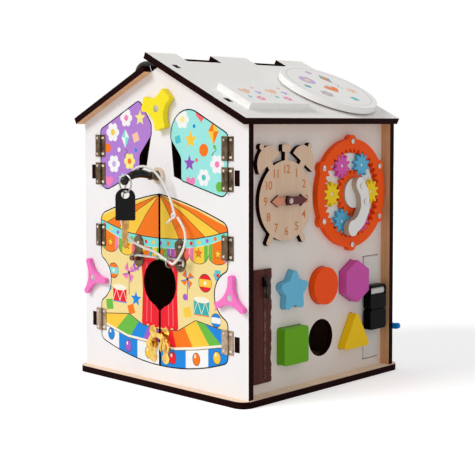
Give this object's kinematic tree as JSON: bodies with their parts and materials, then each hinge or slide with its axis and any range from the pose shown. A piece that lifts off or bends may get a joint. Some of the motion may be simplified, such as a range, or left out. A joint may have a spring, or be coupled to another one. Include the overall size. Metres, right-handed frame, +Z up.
{
  "type": "toddler activity house",
  "caption": "Gabled wooden play house with hinged doors and shutters, latches, a key, a clock, a cranked planetary gear set, sorting blocks, a zip, a buckle and a carry handle.",
  "frame": {"origin": "centre of the underside of the base board", "axes": "+Z up along the height, which is the longest extent; the front gable wall with the doors faces -Y; the wall with the clock and gears faces +X"},
  "size_m": [0.3069, 0.351, 0.4094],
  "materials": {
    "birch_base": "bare birch plywood with laser-burnt edges",
    "painted_front": "white paint on birch plywood",
    "painted_back": "white paint on birch plywood",
    "painted_left": "white paint on birch plywood",
    "painted_right": "white paint on birch plywood",
    "painted_roof_left": "white paint on birch plywood",
    "painted_roof_right": "white paint on birch plywood",
    "black_handle": "gloss black",
    "antique_bronze": "antique bronze plate",
    "screw_steel": "plated steel",
    "left_door_print": "printed birch plywood",
    "left_latch_bronze": "antique bronze and gilt plate",
    "right_door_print": "printed birch plywood",
    "right_latch_bronze": "antique bronze and gilt plate",
    "purple_paint": "purple paint on birch plywood",
    "cyan_paint": "cyan paint on birch plywood",
    "rod_chrome": "polished rod",
    "clasp_gilt": "gilt",
    "pink_paint": "pink paint on birch plywood",
    "blue_paint": "blue paint on birch plywood",
    "yellow_paint": "yellow paint on birch plywood",
    "peg_wood": "bare turned wood",
    "black_lever": "gloss black",
    "ring_steel": "bright wire",
    "black_key_head": "gloss black",
    "key_brass": "milled brass",
    "cotton_cord": "twisted white cotton",
    "clock_wood": "bare birch with burnt print",
    "hand_terracotta": "terracotta paint on birch plywood",
    "hand_red": "dark red paint on birch plywood",
    "orange_paint": "orange paint on birch plywood",
    "white_carrier": "white paint on birch plywood",
    "sun_orange": "orange paint on birch plywood",
    "white_crank": "white paint on birch plywood",
    "planet_yellow": "painted birch plywood",
    "planet_blue": "painted birch plywood",
    "planet_magenta": "painted birch plywood",
    "zip_leather": "brown leather with closed teeth",
    "zip_metal": "plated slider",
    "star_paint": "painted birch plywood",
    "disc_paint": "painted birch plywood",
    "hexagon_paint": "painted birch plywood",
    "square_paint": "painted birch plywood",
    "triangle_paint": "painted birch plywood",
    "buckle_black": "moulded black nylon",
    "webbing": "woven webbing",
    "jigsaw_white_a": "white paint on birch plywood",
    "jigsaw_white_b": "white paint on birch plywood",
    "disc_white": "white paint on birch plywood"
  },
  "bodies": {
    "house": {"base_plate": "birch_base", "front_wall": "painted_front", "back_wall": "painted_back", "left_wall": "painted_left", "right_wall": "painted_right", "roof_left_panel": "painted_roof_left", "roof_right_panel": "painted_roof_right", "carry_handle": "black_handle", "wall_hinge_leaves": "antique_bronze", "fixing_screws": "screw_steel", "peg_rosette": "peg_wood", "peg_bracket": "antique_bronze", "peg_lever": "black_lever", "cord": "cotton_cord", "clock_face": "clock_wood", "gear_ring": "orange_paint", "zip_panel": "zip_leather", "buckle_socket": "buckle_black", "strap_upper": "webbing", "strap_lower": "webbing"},
    "left_door": {"left_door": "left_door_print", "left_door_hinge_leaves": "antique_bronze", "left_latch_plates": "left_latch_bronze"},
    "right_door": {"right_door": "right_door_print", "right_door_hinge_leaves": "antique_bronze", "right_latch_plates": "right_latch_bronze"},
    "left_shutter": {"left_shutter": "purple_paint", "left_shutter_hinge_leaves": "antique_bronze"},
    "right_shutter": {"right_shutter": "cyan_paint", "right_shutter_hinge_leaves": "antique_bronze"},
    "hook": {"latch_hook": "rod_chrome"},
    "clasp": {"clasp_arm": "clasp_gilt"},
    "left_spinner": {"left_spinner": "pink_paint"},
    "right_spinner": {"right_spinner": "pink_paint"},
    "back_spinner": {"back_spinner": "blue_paint"},
    "turn_button": {"turn_button": "yellow_paint"},
    "key": {"key_ring": "ring_steel", "key_head": "black_key_head", "key_blade": "key_brass"},
    "hour_hand": {"hour_hand": "hand_terracotta"},
    "minute_hand": {"minute_hand": "hand_red"},
    "sun": {"sun_gear": "sun_orange", "crank_handle": "white_crank"},
    "carrier": {"planet_carrier": "white_carrier"},
    "zip_slider": {"zip_slider": "zip_metal"},
    "buckle_plug": {"buckle_plug": "buckle_black"},
    "roof_disc": {"roof_disc": "disc_white"},
    "planet_1": {"planet_gear_1": "planet_yellow"},
    "planet_2": {"planet_gear_2": "planet_blue"},
    "planet_3": {"planet_gear_3": "planet_magenta"},
    "planet_4": {"planet_gear_4": "planet_yellow"},
    "planet_5": {"planet_gear_5": "planet_blue"},
    "planet_6": {"planet_gear_6": "planet_magenta"},
    "star_block": {"star_block": "star_paint"},
    "disc_block": {"disc_block": "disc_paint"},
    "hexagon_block": {"hexagon_block": "hexagon_paint"},
    "square_block": {"square_block": "square_paint"},
    "triangle_block": {"triangle_block": "triangle_paint"},
    "jigsaw_piece_knob": {"jigsaw_piece_knob": "jigsaw_white_a"},
    "jigsaw_piece_socket": {"jigsaw_piece_socket": "jigsaw_white_b"}
  },
  "joints": [
    {"name": "left_door_swing", "type": "hinge", "parent": "house", "child": "left_door", "pos_m": [-0.11425, -0.1402, 0.126], "axis": [0, 0, -1], "range_deg": [0, 110], "deforming": ["cord"]},
    {"name": "right_door_swing", "type": "hinge", "parent": "house", "child": "right_door", "pos_m": [0.11325, -0.1402, 0.126], "axis": [0, 0, 1], "range_deg": [0, 110]},
    {"name": "left_shutter_swing", "type": "hinge", "parent": "house", "child": "left_shutter", "pos_m": [-0.11425, -0.1402, 0.277], "axis": [0, 0, -1], "range_deg": [0, 110]},
    {"name": "right_shutter_swing", "type": "hinge", "parent": "house", "child": "right_shutter", "pos_m": [0.11325, -0.1402, 0.277], "axis": [0, 0, 1], "range_deg": [0, 110]},
    {"name": "hook_lift", "type": "hinge", "parent": "left_door", "child": "hook", "pos_m": [-0.041, -0.148, 0.157], "axis": [0, -1, 0], "range_deg": [0, 90]},
    {"name": "clasp_lift", "type": "hinge", "parent": "left_door", "child": "clasp", "pos_m": [-0.0145, -0.1442, 0.0525], "axis": [0, -1, 0], "range_deg": [0, 90]},
    {"name": "left_spinner_turn", "type": "hinge", "parent": "house", "child": "left_spinner", "pos_m": [-0.125, -0.142, 0.124], "axis": [0, -1, 0], "continuous": true},
    {"name": "right_spinner_turn", "type": "hinge", "parent": "house", "child": "right_spinner", "pos_m": [0.1215, -0.142, 0.124], "axis": [0, -1, 0], "continuous": true},
    {"name": "back_spinner_turn", "type": "hinge", "parent": "house", "child": "back_spinner", "pos_m": [0.128, 0.142, 0.056], "axis": [0, 1, 0], "continuous": true},
    {"name": "button_turn", "type": "hinge", "parent": "house", "child": "turn_button", "pos_m": [0.001, -0.143, 0.341], "axis": [0, -1, 0], "range_deg": [0, 120]},
    {"name": "key_swing", "type": "hinge", "parent": "house", "child": "key", "pos_m": [-0.00385, -0.1915, 0.25633], "axis": [0, -1, 0], "range_deg": [-20, 20]},
    {"name": "hour_hand_turn", "type": "hinge", "parent": "house", "child": "hour_hand", "pos_m": [0.139, -0.0645, 0.2325], "axis": [1, 0, 0], "continuous": true},
    {"name": "minute_hand_turn", "type": "hinge", "parent": "house", "child": "minute_hand", "pos_m": [0.142, -0.0645, 0.2325], "axis": [1, 0, 0], "continuous": true},
    {"name": "sun_spin", "type": "hinge", "parent": "house", "child": "sun", "pos_m": [0.138, 0.0585, 0.236], "axis": [1, 0, 0], "continuous": true},
    {"name": "carrier_spin", "type": "hinge", "parent": "house", "child": "carrier", "pos_m": [0.133, 0.0585, 0.236], "axis": [1, 0, 0], "continuous": true},
    {"name": "planet_1_spin", "type": "hinge", "parent": "carrier", "child": "planet_1", "pos_m": [0.137, 0.09825, 0.236], "axis": [1, 0, 0], "continuous": true},
    {"name": "planet_2_spin", "type": "hinge", "parent": "carrier", "child": "planet_2", "pos_m": [0.137, 0.07838, 0.27043], "axis": [1, 0, 0], "continuous": true},
    {"name": "planet_3_spin", "type": "hinge", "parent": "carrier", "child": "planet_3", "pos_m": [0.137, 0.03862, 0.27043], "axis": [1, 0, 0], "continuous": true},
    {"name": "planet_4_spin", "type": "hinge", "parent": "carrier", "child": "planet_4", "pos_m": [0.137, 0.01875, 0.236], "axis": [1, 0, 0], "continuous": true},
    {"name": "planet_5_spin", "type": "hinge", "parent": "carrier", "child": "planet_5", "pos_m": [0.137, 0.03862, 0.20158], "axis": [1, 0, 0], "continuous": true},
    {"name": "planet_6_spin", "type": "hinge", "parent": "carrier", "child": "planet_6", "pos_m": [0.137, 0.07838, 0.20158], "axis": [1, 0, 0], "continuous": true},
    {"name": "zip_pull", "type": "slide", "parent": "house", "child": "zip_slider", "axis": [0, 0, -1], "range_m": [0, 0.1]},
    {"name": "buckle_release", "type": "slide", "parent": "house", "child": "buckle_plug", "axis": [0, 0, 1], "range_m": [0, 0.022], "deforming": ["strap_upper"]},
    {"name": "star_block_pull", "type": "slide", "parent": "house", "child": "star_block", "axis": [1, 0, 0], "range_m": [0, 0.04]},
    {"name": "disc_block_pull", "type": "slide", "parent": "house", "child": "disc_block", "axis": [1, 0, 0], "range_m": [0, 0.04]},
    {"name": "hexagon_block_pull", "type": "slide", "parent": "house", "child": "hexagon_block", "axis": [1, 0, 0], "range_m": [0, 0.04]},
    {"name": "square_block_pull", "type": "slide", "parent": "house", "child": "square_block", "axis": [1, 0, 0], "range_m": [0, 0.04]},
    {"name": "triangle_block_pull", "type": "slide", "parent": "house", "child": "triangle_block", "axis": [1, 0, 0], "range_m": [0, 0.04]},
    {"name": "jigsaw_knob_lift", "type": "slide", "parent": "house", "child": "jigsaw_piece_knob", "axis": [0.4305, 0, 0.9026], "range_m": [0, 0.02]},
    {"name": "jigsaw_socket_lift", "type": "slide", "parent": "house", "child": "jigsaw_piece_socket", "axis": [0.4305, 0, 0.9026], "range_m": [0, 0.02]},
    {"name": "roof_disc_turn", "type": "hinge", "parent": "house", "child": "roof_disc", "pos_m": [0.09013, 0.07, 0.36616], "axis": [0.4305, 0, 0.9026], "continuous": true}
  ],
  "couplings": [
    {"joint": "right_door_swing", "follows": "left_door_swing", "ratio": 1},
    {"joint": "carrier_spin", "follows": "sun_spin", "ratio": 0.33333},
    {"joint": "planet_1_spin", "follows": "sun_spin", "ratio": -1.3333},
    {"joint": "planet_2_spin", "follows": "sun_spin", "ratio": -1.3333},
    {"joint": "planet_3_spin", "follows": "sun_spin", "ratio": -1.3333},
    {"joint": "planet_4_spin", "follows": "sun_spin", "ratio": -1.3333},
    {"joint": "planet_5_spin", "follows": "sun_spin", "ratio": -1.3333},
    {"joint": "planet_6_spin", "follows": "sun_spin", "ratio": -1.3333}
  ]
}
